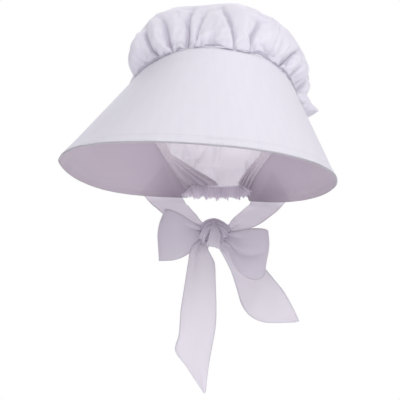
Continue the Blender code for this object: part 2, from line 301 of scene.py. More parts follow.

# %% [markdown]
# ## Cotton and ribbon
#
# Plain weave is one set of threads over and under another, so its height is the
# product of two waves, broken up a little because no thread is even. Cotton is
# matt, with a faint fuzz that catches light at grazing angles, which is what the
# sheen does. The cloth is thin enough for light to pass, so part of the shader
# is translucent: that is what makes a single layer paler than a folded one.
#
# Some marks are painted on top, and each is painted shade. A dark line of painted shade runs along the
# rim's edge, and a faint one along the hem's fold. Gathered cloth gets painted shade where it lies low,
# which the mesh stores as "hollow", and where it goes into its seam. And the brim's lining gets painted
# shade along the rim, and a painted shadow where a tie is sewn on behind.

# %% Cotton
THREAD = 0.00062  # from one thread to the next, in metres like every size in a shader
HEM_FOLD, SHADED_RIM = 0.0098, 0.024  # how far from the rim they are or end
# the painted shadow of the ties behind the brim falls on its inside as a wedge
WEDGE_MIDDLE, WEDGE_TOP, WEDGE_ASIDE = 0.0055, -0.146, 0.057  # of the ties behind the brim
# colours of painted shade: along the rim's edge, near the rim inside, and where a tie lies behind the brim
RIM_EDGE_SHADE, RIM_SHADE, TIE_SHADE = (0.36, 0.34, 0.38, 1), (0.42, 0.36, 0.42, 1), (0.42, 0.34, 0.42, 1)
FOLD_SHADE, SEAM_SHADE = (0.42, 0.41, 0.51, 1), (0.32, 0.30, 0.42, 1)


def weave(along, over, wander):
    """Height of a plain weave, between 0 and 1."""
    turn = math.pi / THREAD
    warp = (along * turn + wander * 2.2).sine()
    weft = (over * turn + wander * 2.6).sine()
    return (warp * weft) * 0.5 + 0.5


def ties_behind(paint):
    """1 where the painted shadow of a tie sewn on behind the brim falls: a wedge that widens downwards."""
    x, y, z = paint.split(paint.place())
    aside, below = abs(x - WEDGE_MIDDLE), WEDGE_TOP - z
    outer, inner = WEDGE_ASIDE + below * 0.73, WEDGE_ASIDE - below * 0.47
    within = (outer - aside).ramp(0.0, 0.003) * (aside - inner).ramp(0.0, 0.003)
    return within * y.ramp(0.03, 0.04)


def cotton(name, pale, deep, glow, thinness, shaded_hem=False, shaded_inside=False, folded=0.0, sewn=False):
    """thinness is the translucent share, and the last four say which painted shade it gets."""
    paint = Paint(name)
    uv, along, over = paint.across_cloth()
    here = paint.place()
    cloud = paint.noise(here, 14.0, 3.0, 0.55)
    slub = paint.noise(uv, 420.0, 2.0, 0.5)
    crumple = paint.noise(here, 48.0, 4.0, 0.6)
    threads = weave(along, over, slub)
    shade = (cloud * 0.55 + threads * 0.22 + slub * 0.2).clipped()
    body = paint.blend(shade, (*deep, 1), (*pale, 1))
    # painted shade: a dark line along the rim's edge, and a faint one at the hem's fold
    if shaded_hem:
        from_rim = paint.stored("from_rim")
        edge_shade = 1.0 - from_rim.ramp(0.0004, 0.0014)
        fold = 1.0 - abs(from_rim - HEM_FOLD).ramp(0.0002, 0.0009)
        body = paint.blend((edge_shade * 0.75 + fold * 0.08).clipped(), body, RIM_EDGE_SHADE)
    # painted shade inside the brim along the rim, and the painted shadow of the ties behind it
    if shaded_inside:
        body = paint.blend((1.0 - from_rim.ramp(0.0, SHADED_RIM)) * 0.26, body, RIM_SHADE)
        body = paint.blend(ties_behind(paint) * 0.23, body, TIE_SHADE)
    if folded:
        body = paint.blend(paint.stored("hollow") * folded, body, FOLD_SHADE)
    if sewn:
        from_seam = over - paint.noise(here, 130.0, 1.0, 0.5) * 0.006
        body = paint.blend((1.0 - from_seam.ramp(0.0, 0.0018)) * 0.75, body, SEAM_SHADE)
    paint.set(Base_Color=body, Roughness=(0.86 + slub * 0.1).clipped())
    paint.set(Sheen_Weight=0.12, Sheen_Roughness=0.5, Specular_IOR_Level=0.2)
    paint.bump(threads * 0.35 + slub * 0.25 + crumple * 1.3, 0.35, 0.0006)
    paint.let_light_through(thinness, (*glow, 1))
    return paint.material


GLOW = (0.84, 0.80, 0.86)
COTTON = cotton("white cotton", (0.84, 0.825, 0.90), (0.79, 0.77, 0.855), GLOW, 0.14, shaded_hem=True)
# The brim's inside is the same white cotton, made darker as painted shade for the shade under the brim.
SHADED_LINING = cotton(
    "cotton inside", (0.66, 0.585, 0.67), (0.60, 0.525, 0.61), GLOW, 0.2, shaded_hem=True, shaded_inside=True
)
THIN_COTTON = cotton(
    "thin cotton", (0.90, 0.905, 0.975), (0.86, 0.86, 0.94), (0.95, 0.95, 0.975), 0.5, folded=0.7, sewn=True
)
# The crown's inside is the same thin cotton, made paler as painted light for the light that comes through
# it.
LIT_THIN_LINING = cotton("thin cotton inside", (0.99, 0.95, 0.98), (0.97, 0.93, 0.96), (1.0, 0.97, 0.99), 0.8)
BINDING = cotton("seam binding", (0.82, 0.76, 0.82), (0.73, 0.67, 0.73), GLOW, 0.3, folded=0.28)
# The frill is the crown's own thin cotton, made paler as painted light against its shade at the nape.
LIT_FRILL = cotton("drawn-up edge", (0.985, 0.945, 0.99), (0.925, 0.88, 0.955), (0.98, 0.96, 1.0), 0.65)
print("cotton:", [cloth.name for cloth in (COTTON, SHADED_LINING, THIN_COTTON, LIT_THIN_LINING, BINDING, LIT_FRILL)])

# %% [markdown]
# Ribbon is woven finer, with a bound edge on both sides. Its coordinates run
# along it and across it, so a few lines on the across coordinate make the two
# selvedges, and fine ribs run from edge to edge.

# %% Ribbon and thread
RIBBON_WIDTH = 38.0
RIB, SELVEDGE = 0.0009, 0.0016


def ribbon_cloth(name, pale, deep, sheer=0.0, glow=0.0):
    """sheer is how much of a single layer the light behind it shows through."""
    paint = Paint(name)
    uv, along, over = paint.across_cloth()
    half = RIBBON_WIDTH * MM / 2
    edge = abs(over).ramp(half - SELVEDGE, half - 0.0006)
    slub = paint.noise(uv, 500.0, 2.0, 0.5)
    cloud = paint.noise(paint.place(), 22.0, 2.0, 0.5)
    ribs = (along * (2 * math.pi / RIB) + slub * 1.5).sine() * 0.5 + 0.5
    shade = (cloud * 0.5 + ribs * 0.2 + slub * 0.25).clipped()
    body = paint.blend(shade, (*deep, 1), (*pale, 1))
    paint.set(Base_Color=paint.blend(edge * 0.6, body, (0.46, 0.43, 0.49, 1)))
    paint.set(Roughness=(0.55 + slub * 0.16).clipped())
    paint.set(Sheen_Weight=0.15, Sheen_Roughness=0.4, Specular_IOR_Level=0.3)
    if sheer:
        paint.set(Alpha=(1.0 - sheer * (1.0 - edge)).clipped())
        paint.let_light_through(glow - edge * 0.2, (0.86, 0.83, 0.88, 1))
    paint.bump(ribs * 0.3 + slub * 0.2 + edge * 0.8, 0.3, 0.0005)
    return paint.material


def thread_material():
    paint = Paint("sewing thread")
    twist = paint.noise(paint.place(), 900.0, 2.0, 0.5)
    paint.set(Base_Color=paint.blend(twist, (0.62, 0.60, 0.67, 1), (0.80, 0.79, 0.86, 1)))
    paint.set(Roughness=(0.6 + twist * 0.2).clipped(), Sheen_Weight=0.1)
    paint.bump(twist, 0.3, 0.0003)
    return paint.material


RIBBON = ribbon_cloth("white ribbon", (0.79, 0.755, 0.83), (0.72, 0.68, 0.76), 0.34, 0.45)
# The ties are the same ribbon, made paler as painted light against the shade of the brim above them.
LIT_TIE_RIBBON = ribbon_cloth("tie ribbon", (0.93, 0.87, 0.95), (0.86, 0.80, 0.88), 0.36, 0.55)
# The knot is the same ribbon, made darker as painted shade, a little less on the side turn.
KNOT_RIBBONS_IN_SHADE = [
    ribbon_cloth("folded ribbon", (0.54, 0.49, 0.59), (0.45, 0.40, 0.50)),
    ribbon_cloth("creased ribbon", (0.60, 0.55, 0.65), (0.51, 0.46, 0.56)),
    ribbon_cloth("last turn of ribbon", (0.53, 0.49, 0.57), (0.47, 0.43, 0.51)),
]
THREAD_WHITE = thread_material()
print("ribbon and thread:", RIBBON.name, LIT_TIE_RIBBON.name, THREAD_WHITE.name)

# %% [markdown]
# ## Curves that carry the cloth
#
# Two curves set the whole bonnet. The seam runs from the nape up one side, over
# the forehead and down the other side, and the rim is the brim's free edge. A few
# stations and a smooth curve through them are enough, and every other piece asks
# these two curves where it is.


# %% Curves
def unit(vectors):
    vectors = np.asarray(vectors, float)
    length = np.linalg.norm(vectors, axis=-1, keepdims=True)
    return vectors / np.maximum(length, 1e-12)


def signed_power(values, power):
    """The power of each value's size, with the value's own sign."""
    return np.sign(values) * np.abs(values) ** power


def lengths(points):
    """How far along the points each of them is."""
    steps = np.linalg.norm(np.diff(points, axis=0), axis=1)
    return np.concatenate([[0.0], np.cumsum(steps)])


def through(stations, at):
    """A smooth curve through the stations, read at shares of the way along it."""
    stations = np.asarray(stations, float)
    steps = np.linalg.norm(np.diff(stations[:, :3], axis=0), axis=1)
    where = np.concatenate([[0.0], np.cumsum(np.sqrt(steps))])
    where /= where[-1]
    slopes = np.gradient(stations, where, axis=0)
    at = np.clip(np.atleast_1d(at), 0.0, 1.0)
    index = np.clip(np.searchsorted(where, at, side="right") - 1, 0, len(where) - 2)
    span = (where[index + 1] - where[index])[:, None]
    t = (at[:, None] - where[index][:, None]) / span
    return (
        (2 * t**3 - 3 * t**2 + 1) * stations[index]
        + (t**3 - 2 * t**2 + t) * span * slopes[index]
        + (3 * t**2 - 2 * t**3) * stations[index + 1]
        + (t**3 - t**2) * span * slopes[index + 1]
    )


print("curve helpers ready")


# %% The seam and the rim
SEAM_SHIFT_X = 1.9
SEAM = [  # x, y, z, rim angle that the station is ruled to
    (-26, 84, -173, -171.5),
    (-43, 76, -151, -153),
    (-63, 60, -122, -132),
    (-78.5, 42, -104, -115),
    (-85, 16, -83, -94),
    (-71, -18, -60, -68),
    (-49, -49, -48.5, -38),
    (-25.5, -68, -40.5, -14),
    (0, -73, -37, 0),
    (25.5, -68, -38.5, 14),
    (49, -49, -42, 38),
    (71, -18, -55.5, 68),
    (85, 16, -82, 94),
    (78.5, 42, -104, 115),
    (63, 60, -122, 132),
    (43, 76, -151, 153),
    (33, 81.5, -170.5, 166.5),  # the brim stops sooner on this side
]
NAPE_MIDDLE = (6.0, 88.0, -174.0)
RIM_HALF_WIDTH, RIM_MIDDLE_Y = 134.8, -38.0
RIM_FRONT_REACH, RIM_BACK_REACH = 106.0, 122.5
RIM_FULLNESS, RIM_HEIGHT, RIM_SLOPE = 0.84, -157.2, 0.224
RIM_SHIFT_X, RIM_DROOP_LEFT, RIM_DROOP_RIGHT, RIM_NAPE_RISE = -5.8, 3.2, 1.2, 4.0
SEAM_POINTS, FINE_SEAM_POINTS = 900, 1600  # to lay a piece along it, and to measure it


def seam(at):
    stations = np.array(SEAM)
    stations[:, 0] += SEAM_SHIFT_X
    return through(stations, at)


def even_seam(count):
    """The seam at even steps: x, y, z and rim angle."""
    fine = np.linspace(0.0, 1.0, FINE_SEAM_POINTS)
    run = lengths(seam(fine)[:, :3])
    return seam(np.interp(np.linspace(0.0, run[-1], count), run, fine))


def rim_point(degrees):
    """A widened ellipse, 0 degrees in front, that falls to the nape and droops on the way."""
    turn = np.radians(degrees)
    back = np.cos(turn) < 0
    behind = (1 - np.cos(turn)) / 2
    across = signed_power(np.sin(turn), RIM_FULLNESS)
    reach = np.where(back, RIM_BACK_REACH, RIM_FRONT_REACH)
    shift = RIM_SHIFT_X + (SEAM_SHIFT_X - RIM_SHIFT_X) * behind**16
    most = np.where(turn < 0, RIM_DROOP_LEFT, RIM_DROOP_RIGHT)
    droop = most * np.clip(-np.sin(2 * np.abs(turn)), 0, 1) * back
    x = shift + RIM_HALF_WIDTH * across
    y = RIM_MIDDLE_Y - reach * np.cos(turn)
    z = RIM_HEIGHT + RIM_SLOPE * reach * np.cos(turn) - droop + RIM_NAPE_RISE * behind**12
    return np.stack([x, y, z], axis=-1)


def brim_line(count):
    """Even steps of the seam: its points, the rim's, and the way between."""
    found = even_seam(count)
    foot, rim = found[:, :3], rim_point(found[:, 3])
    return foot, rim, unit(rim - foot)


print("seam", round(lengths(brim_line(SEAM_POINTS)[0])[-1]), "mm long")

# %% [markdown]
# ## From a grid to a sheet
#
# Cloth is a grid of points: along it, and across it. One helper makes the mesh
# and its cloth coordinates in metres, which the weave reads. The thickness is
# left to a Solidify modifier, because it keeps both faces and the border closed.

# %% Sheet helper
CORNERS = ((0, 0), (1, 0), (1, 1), (0, 1))  # of a cell of the grid, along and across


def mesh_object(name, points, faces=(), materials=(), edges=()):
    mesh = bpy.data.meshes.new(name)
    mesh.from_pydata((np.asarray(points) * MM).tolist(), edges, faces)
    for material in materials:
        mesh.materials.append(material)
    mesh.shade_smooth()
    return placed(name, mesh)


def cells_of(rows, columns, ring):
    """Every cell of the grid; in a ring, the last row meets the first."""
    return [(i, j) for i in range(rows if ring else rows - 1) for j in range(columns - 1)]


def faces_of(rows, columns, ring):
    cells = cells_of(rows, columns, ring)
    return [tuple((i + a) % rows * columns + j + b for a, b in CORNERS) for i, j in cells]


def sheet_piece(name, grid, materials, wall, ring=False, along=None, over=None):
    """A sheet over the grid (rows, columns, 3), ready to be thickened."""
    rows, columns = grid.shape[:2]
    piece = mesh_object(name, grid.reshape(-1, 3), faces_of(rows, columns, ring), materials)
    if along is None:
        along = lengths(grid[:, columns // 2])
    if ring:
        along = np.append(along, along[-1] * rows / (rows - 1))
    if over is None:
        over = lengths(grid[rows // 2])
        over -= over[-1] / 2
    layer = piece.data.uv_layers.new(name="cloth")
    cells = cells_of(rows, columns, ring)
    flat = [(along[i + a] * MM, over[j + b] * MM) for i, j in cells for a, b in CORNERS]
    layer.data.foreach_set("uv", np.array(flat, np.float32).ravel())
    thicken(piece, wall, len(materials) > 1)
    return piece


def thicken(piece, wall, lined=False):
    solid = piece.modifiers.new("wall", "SOLIDIFY")
    solid.thickness, solid.offset = wall * MM, 0.0
    solid.use_even_offset, solid.use_rim = False, True
    if lined:
        solid.material_offset = 1


def store_hollow(piece, hollow):
    """Keeps how low the cloth lies at each point, for its shader."""
    layer = piece.data.attributes.new("hollow", "FLOAT", "POINT")
    layer.data.foreach_set("value", hollow.astype(np.float32).ravel())


def made(piece):
    print(piece.name, len(piece.data.polygons), "faces")
    return piece


print("sheet helper ready")

# %% [markdown]
# ## The brim
#
# The brim is cut flat and bent into a cone-like shape, so straight lines run over
# it from seam to rim. That is a rule, and a Geometry Nodes tree can follow it:
# it takes the two edge lines, reads both at the same place and stretches a grid
# between them. The hem is a fold of the same cloth, so the tree lifts a strip at
# the rim, and a slow noise adds the pucker that stitching leaves beside it.


# %% A geometry tree helper
class Tree(Nodes):
    """A Geometry Nodes tree with named inputs, built in a few lines."""

    def __init__(self, name):
        super().__init__(bpy.data.node_groups.new(name, "GeometryNodeTree"))
        self.tree.is_modifier = True
        for way in ("INPUT", "OUTPUT"):
            self.tree.interface.new_socket("Geometry", in_out=way, socket_type="NodeSocketGeometry")
        self.start = self.tree.nodes.new("NodeGroupInput")
        self.end = self.tree.nodes.new("NodeGroupOutput")
        self.names = {}

    def ask(self, name, kind, value=None):
        """Adds a named input and returns it as a wire."""
        item = self.tree.interface.new_socket(name, in_out="INPUT", socket_type="NodeSocket" + kind)
        if value is not None:
            item.default_value = value
        self.names[name] = item.identifier
        return Wire(self, next(s for s in self.start.outputs if s.identifier == item.identifier))

    def vector(self, operation, sockets, output="Vector"):
        return self.add("ShaderNodeVectorMath", {"operation": operation}, sockets, output)

    def shape_of(self, thing):
        return self.add("GeometryNodeObjectInfo", {}, {"Object": thing}, "Geometry")

    def store(self, geometry, name, value, kind, domain):
        """Stores the value on the mesh under this name."""
        sockets = {"Geometry": geometry, "Name": name, "Value": value}
        settings = {"data_type": kind, "domain": domain}
        return self.add("GeometryNodeStoreNamedAttribute", settings, sockets)

    def finish(self, geometry, material):
        real = self.add("GeometryNodeRealizeInstances", {}, {0: geometry})
        coated = self.add("GeometryNodeSetMaterial", {}, {"Geometry": real, "Material": material})
        self.join(coated, self.end.inputs[0])
        return self


def run_tree(tree, name, values):
    """Runs the tree once and keeps its result as a plain mesh."""
    helper = placed(name + " helper", bpy.data.meshes.new(name + " helper"))
    live = helper.modifiers.new("tree", "NODES")
    live.node_group = tree.tree
    for title, value in values.items():
        live[tree.names[title]] = value
    bpy.context.view_layer.update()
    ready = helper.evaluated_get(bpy.context.evaluated_depsgraph_get())
    mesh = bpy.data.meshes.new_from_object(ready)
    mesh.name = name
    mesh.shade_smooth()
    helper.modifiers.remove(live)
    bpy.data.objects.remove(helper, do_unlink=True)
    return placed(name, mesh)


def edge_line(name, points):
    """A line of plain edges, for a tree to read."""
    return mesh_object(name, points, edges=[(i, i + 1) for i in range(len(points) - 1)])


print("geometry tree helper ready")

# %% The brim's tree
BRIM_AROUND, BRIM_ACROSS, BRIM_WALL = 420, 46, 1.6
ROW_STEP = 0.0019  # metres of cloth from row to row, for the weave
HEM_STEP, PUCKER_REACH = 0.0006, 3.2  # metres, and widths of the hem


def brim_tree():
    tree = Tree("ruled brim")
    foot, rim = tree.ask("Seam line", "Object"), tree.ask("Rim line", "Object")
    around, steps = tree.ask("Around", "Int"), tree.ask("Across", "Int")
    gap = tree.ask("Seam gap", "Float", 0.0012)
    hem, lift = tree.ask("Hem width", "Float", 0.009), tree.ask("Hem lift", "Float", 0.0004)
    pucker, seed = tree.ask("Pucker", "Float", 0.0032), tree.ask("Seed", "Float", 3.0)
    scale = tree.ask("Pucker scale", "Float", 34.0)
    cloth = tree.ask("Material", "Material")
    sizes = {"Size X": 1.0, "Size Y": 1.0, "Vertices X": around, "Vertices Y": steps}
    grid = tree.add("GeometryNodeFlipFaces", {}, {0: tree.add("GeometryNodeMeshGrid", {}, sizes)})
    index = tree.add("GeometryNodeInputIndex")
    row = (index / steps).floor()
    share = (index % steps) / (steps - 1.0)
    ends = []
    for line in (foot, rim):
        here = tree.add("GeometryNodeInputPosition")
        sockets = {"Geometry": tree.shape_of(line), "Value": here, "Index": row}
        ends.append(tree.add("GeometryNodeSampleIndex", {"data_type": "FLOAT_VECTOR"}, sockets))
    way = tree.vector("SUBTRACT", {0: ends[1], 1: ends[0]})
    size = tree.vector("LENGTH", {0: way}, "Value")
    start = gap / size
    reach = tree.vector("SCALE", {0: way, "Scale": start + share * (1.0 - start)})
    ruled = {"Geometry": grid, "Position": tree.vector("ADD", {0: ends[0], 1: reach})}
    ruled = tree.add("GeometryNodeSetPosition", {}, ruled)
    pair = tree.add("ShaderNodeCombineXYZ", {}, {0: row * ROW_STEP, 1: share * size})
    marked = tree.store(ruled, "cloth", pair, "FLOAT2", "CORNER")
    from_rim = (1.0 - share) * size
    marked = tree.store(marked, "from_rim", from_rim, "FLOAT", "POINT")
    in_hem, near = from_rim.ramp(hem + HEM_STEP, hem), from_rim.ramp(hem * PUCKER_REACH, 0.0)
    cells = {"Scale": scale, "Detail": 2.0, "W": seed}
    uneven = tree.add("ShaderNodeTexNoise", {"noise_dimensions": "4D"}, cells)
    rise = in_hem * lift + (uneven - 0.5) * near * pucker
    facing = tree.add("GeometryNodeInputNormal")
    offset = tree.vector("SCALE", {0: facing, "Scale": rise})
    moved = tree.add("GeometryNodeSetPosition", {}, {"Geometry": marked, "Offset": offset})
    return tree.finish(moved, cloth)


def make_brim():
    foot, rim, _ = brim_line(BRIM_AROUND)
    lines = [edge_line("seam line", foot), edge_line("rim line", rim)]
    values = {"Seam line": lines[0], "Rim line": lines[1], "Around": BRIM_AROUND}
    values |= {"Across": BRIM_ACROSS, "Material": COTTON}
    piece = run_tree(brim_tree(), "brim_cloth", values)
    for line in lines:
        bpy.data.objects.remove(line, do_unlink=True)
    piece.data.materials.append(SHADED_LINING)
    thicken(piece, BRIM_WALL, lined=True)
    return made(piece)


brim = make_brim()

# %% [markdown]
# ## The crown
#
# The crown starts as a round of thin cloth. Its edge is drawn up on a thread to
# half its length and sewn to the brim, and the rest is caught by elastic at the
# nape, so it stands up as a puff whose folds all start at the edge. The dome
# below is the puff without folds, and a table places the folds that the picture
# shows. The small gathers are drawn at random from a fixed seed.

# %% Dome and folds
DOME_MIDDLE = np.array([3.5, 20.0, -104.0])
DOME_RADIUS, DOME_NAPE_RADIUS = 112.5, 98.0
DOME_LEFT, DOME_RIGHT = (88.5, 2.8), (102.5, 2.0)  # half width and boxiness of each side
DOME_AXIS = unit([0.0, 0.762, 0.647])
NAPE_PLACE, LOOP = 1.2, 2.2  # places go from -1 to 1 on the seam, and to 1.2 over the nape
LOOP_SEAM_POINTS, LOOP_NAPE_POINTS = 801, 121
FOLD_START = 0.05  # share of the way up over which a fold, or the side's outline, comes in
FOLDS = [  # foot, head (places from -1 to 1 on the seam), reach, depth, half width, bend
    (-0.3, -0.345, 0.4, 3.8, 0.06, 1),
    (-0.175, -0.279, 0.29, -8.5, 0.017, 0.45),
    (-0.17, -0.215, 0.26, 2, 0.014, 1),
    (-0.135, -0.165, 0.12, -3, 0.008, 1),
    (-0.13, -0.188, 0.26, -6.5, 0.014, 1),
    (-0.078, -0.086, 0.42, -7.5, 0.012, 1),
    (-0.055, -0.03, 0.25, 2.5, 0.015, 1),
    (-0.055, -0.02, 0.3, -5, 0.012, 1),
    (0.095, 0.012, 0.36, -4.2, 0.018, 1),
    (0.09, 0.1, 0.45, 4.5, 0.06, 1),
    (0.15, 0.166, 0.2, -4.5, 0.011, 1),
    (0.215, 0.25, 0.4, 3.5, 0.045, 1),
    (0.3, 0.385, 0.28, -6, 0.01, 1),
    (0.325, 0.35, 0.14, -3.5, 0.008, 1),
    (0.375, 0.4, 0.14, -4, 0.009, 1),
    (0.41, 0.425, 0.11, -3.5, 0.008, 1),
    (0.44, 0.46, 0.13, -4, 0.01, 1),
    (0.5, 0.5, 0.3, -5, 0.018, 1),
    (0.56, 0.57, 0.3, 3.5, 0.035, 1),
    (0.64, 0.66, 0.5, -6.5, 0.026, 1),
    (0.74, 0.745, 0.46, -6, 0.024, 1),
    (0.85, 0.85, 0.44, -5.5, 0.024, 1),
    (-0.43, -0.47, 0.4, -5, 0.018, 1),
    (-0.52, -0.56, 0.46, -6, 0.024, 1),
    (-0.63, -0.65, 0.5, -6.5, 0.026, 1),
    (-0.735, -0.74, 0.46, -6, 0.024, 1),
    (-0.85, -0.85, 0.44, -5.5, 0.024, 1),
]


def crown_edge(count):
    """The closed loop that the crown is gathered on, and the place along it."""
    points = even_seam(LOOP_SEAM_POINTS)[:, :3]
    over_nape = np.linspace(0, 1, LOOP_NAPE_POINTS)[1:-1]
    nape = through([points[-1], NAPE_MIDDLE, points[0]], over_nape)
    place = np.linspace(-1, 1, LOOP_SEAM_POINTS)
    place = np.append(place, np.linspace(1, NAPE_PLACE, LOOP_NAPE_POINTS)[1:])
    ends = np.vstack([points, nape, points[:1]])
    run = lengths(ends)
    at = np.linspace(0.0, run[-1], count, endpoint=False)
    edge = np.column_stack([np.interp(at, run, ends[:, k]) for k in range(3)])
    return edge, np.interp(at, run, place)


def fold_depth(place, up, crisp=1.0):
    """How far the folds move the cloth; a smaller crisp makes narrower valleys."""
    depth = np.zeros(np.broadcast(place, up).shape)
    for foot, head, reach, deep, half, bend in FOLDS:
        centre = foot + (head - foot) * np.clip(up / reach, 0, 1) ** bend
        width = half * (1.0 + 1.6 * up / reach) * (crisp if deep < 0 else 1.0)
        apart = np.abs(place - centre) / width
        profile = np.exp(-(apart ** (1.0 + 0.4 * crisp))) if deep < 0 else np.exp(-(apart**2))
        swell = np.clip(up / FOLD_START, 0, 1) * np.clip(1 - (up / reach) ** 2, 0, 1)
        depth = depth + deep * profile * swell
    return depth


print(len(FOLDS), "folds, the deepest", -min(fold[3] for fold in FOLDS), "mm")


# %% Gathers
GATHER_COUNT, GATHER_SEED = 74, 11
GATHER_RIDGE = 2.6  # mm that the cloth stands out between two of them


def gather_table():
    """Place, drift, half width, reach up and depth of every small gather."""
    random = np.random.default_rng(GATHER_SEED)
    gaps = random.uniform(0.55, 1.6, GATHER_COUNT)
    strong = random.uniform(0.25, 1.0, GATHER_COUNT) ** 1.3
    drift = random.uniform(-0.04, 0.04, GATHER_COUNT)
    reach = 0.05 + 0.15 * strong * random.uniform(0.6, 1.3, GATHER_COUNT)
    places = -1.0 + LOOP * np.cumsum(gaps) / gaps.sum()
    return np.column_stack([places, drift, 0.0085 * (0.7 + 0.8 * strong), reach, 1.2 + 2.6 * strong])


def gather_height(place, up):
    """How far the gathers lift the cloth at these places, in mm."""
    place, up = place[:, None], up[None, :]
    height = 0.0
    for centre, drift, half, reach, deep in gather_table():
        turned = (place - centre - drift * up / 0.2 + LOOP / 2) % LOOP - LOOP / 2
        near = np.exp(-(np.abs(turned / (half * (1.0 + 3.0 * up))) ** 1.3))
        height = height - deep * near * np.exp(-((up / reach) ** 2))
    swell = 0.6 + 0.4 * np.clip(up / 0.03, 0, 1)
    return (height + GATHER_RIDGE * np.exp(-((up / 0.16) ** 2))) * swell


print(GATHER_COUNT, "small gathers, the deepest", round(gather_table()[:, 4].max(), 1), "mm")


# %% The crown before it is gathered
CROWN_AROUND, CROWN_UP = 280, 40
PUFF, SEAM_PUFF = 6.0, 5.0  # mm that the crown swells, and swells more over its seam


def crown_grid():
    """The dome with its folds: its points, their places and their heights."""
    edge, place = crown_edge(CROWN_AROUND)
    reach = np.linalg.norm(edge - DOME_MIDDLE, axis=1)
    start = (edge - DOME_MIDDLE) / reach[:, None]
    angle = np.arccos(start @ DOME_AXIS)
    ahead = np.exp(-((place / 0.36) ** 4))
    grid = np.zeros((CROWN_AROUND, CROWN_UP, 3))
    heights = np.linspace(0.0, 1.0, CROWN_UP) ** 1.35 * 0.995
    for j, up in enumerate(heights):
        turn = angle * up
        way = (np.sin(angle - turn) / np.sin(angle))[:, None] * start
        way = way + (np.sin(turn) / np.sin(angle))[:, None] * DOME_AXIS
        low = np.clip(-way[:, 2] * 1.3, 0, 1)
        radius = DOME_RADIUS + (DOME_NAPE_RADIUS - DOME_RADIUS) * low
        flat = np.hypot(way[:, 1], way[:, 2]) / radius
        side, boxy = np.where(way[:, :1] < 0, DOME_LEFT, DOME_RIGHT).T
        dome = (np.abs(way[:, 0] / side) ** boxy + flat**boxy) ** (-1 / boxy)
        rise = 1 - (1 - min(up / 0.22, 1.0)) ** 2
        puff = PUFF * math.sin(math.pi * min(up / 0.5, 1.0)) * (0.3 + 0.7 * ahead)
        curl = SEAM_PUFF * math.sin(math.pi * min(up / 0.34, 1.0) ** 0.6) * ahead
        size = reach + (dome - reach) * rise + puff + curl + fold_depth(place, up)
        grid[:, j] = DOME_MIDDLE + way * size[:, None]
    return grid, place, heights


print("crown grid:", CROWN_AROUND, "points around and", CROWN_UP, "up")

# %% [markdown]
# The table only says where folds are. How cloth buckles between them is left to
# a cloth simulation: the edge is pinned, the sheet is told that it is larger than
# the space it has, most of all near the seam, and a little pressure puffs it out.
# No gravity is needed for so light a crown. A cap keeps every point near its dome.

# %% Let the cloth buckle
GROWTH_AT_SEAM, GROWTH_ABOVE = -0.20, -0.035  # Blender's shrink, so less than 0 is growth
GROWTH_REACH = 0.22  # share of the way up that the seam's growth reaches
PINNED_TIP_ROWS, FRAMES = 3, 22
MOST_SHIFT = 6.0  # mm


def simulated(grid, heights):
    """The grid after the simulation, with its shifts held under a cap."""
    rows, columns = grid.shape[:2]
    draft = mesh_object("crown draft", grid.reshape(-1, 3), faces_of(rows, columns, ring=True))
    pin, grow = draft.vertex_groups.new(name="pin"), draft.vertex_groups.new(name="grow")
    for j, up in enumerate(heights):
        ring = [i * columns + j for i in range(rows)]
        if j == 0 or j >= columns - PINNED_TIP_ROWS:
            pin.add(ring, 1.0, "REPLACE")
        grow.add(ring, math.exp(-((up / GROWTH_REACH) ** 2)), "REPLACE")
    cloth = draft.modifiers.new("cloth", "CLOTH")
    rules = cloth.settings
    rules.quality, rules.mass = 6, 0.02
    rules.tension_stiffness = rules.compression_stiffness = 12.0
    rules.shear_stiffness, rules.bending_stiffness = 3.0, 0.05
    rules.vertex_group_mass, rules.vertex_group_shrink = "pin", "grow"
    rules.shrink_min, rules.shrink_max = GROWTH_ABOVE, GROWTH_AT_SEAM
    rules.use_pressure, rules.uniform_pressure_force = True, 0.25
    rules.effector_weights.gravity = 0.0
    cloth.collision_settings.use_collision = False
    cloth.point_cache.frame_start, cloth.point_cache.frame_end = 1, FRAMES
    for frame_number in range(1, FRAMES + 1):
        bpy.context.scene.frame_set(frame_number)
    ready = draft.evaluated_get(bpy.context.evaluated_depsgraph_get())
    mesh = ready.to_mesh()
    found = np.empty(len(mesh.vertices) * 3)
    mesh.vertices.foreach_get("co", found)
    ready.to_mesh_clear()
    bpy.context.scene.frame_set(1)
    bpy.data.objects.remove(draft, do_unlink=True)
    shift = found.reshape(grid.shape) / MM - grid
    size = np.linalg.norm(shift, axis=-1, keepdims=True)
    print("cloth moved by", round(float(size.mean()), 2), "mm, at most", round(float(size.max()), 1))
    return grid + shift * np.minimum(1.0, MOST_SHIFT / np.maximum(size, 1e-9))


# %% [markdown]
# The simulation is coarse, and its pressure takes most of the table's folds out
# again. So the sheet is read more finely, and the folds, crisper now, and the
# small gathers are laid on it. A last table shapes the right side's outline.

# %% Make it finer
FINE_AROUND, FINE_UP, CRISP = 720, 66, 0.42
HOLLOW_DEPTH = 2.6  # mm below its surroundings at which a fold is darkest
AROUND_IT, AROUND_REACH = np.arange(-24, 25), 10.0  # steps that are a point's surroundings
CROWN_WALL, TIP_WELD = 0.8, 0.02  # mm
RIGHT_OUTLINE = [  # height, and how far the cloth goes out to the right there
    (-120, 0),
    (-112, 6),
    (-103, 13),
    (-96, 14),
    (-89, 12),
    (-84, 6),
    (-78, -3),
    (-69, -8),
    (-60, 0),
    (-52, 6.5),
    (-44, 10),
    (-31, 11),
    (-20, 8.5),
    (0, 8),
    (12, 0),
]


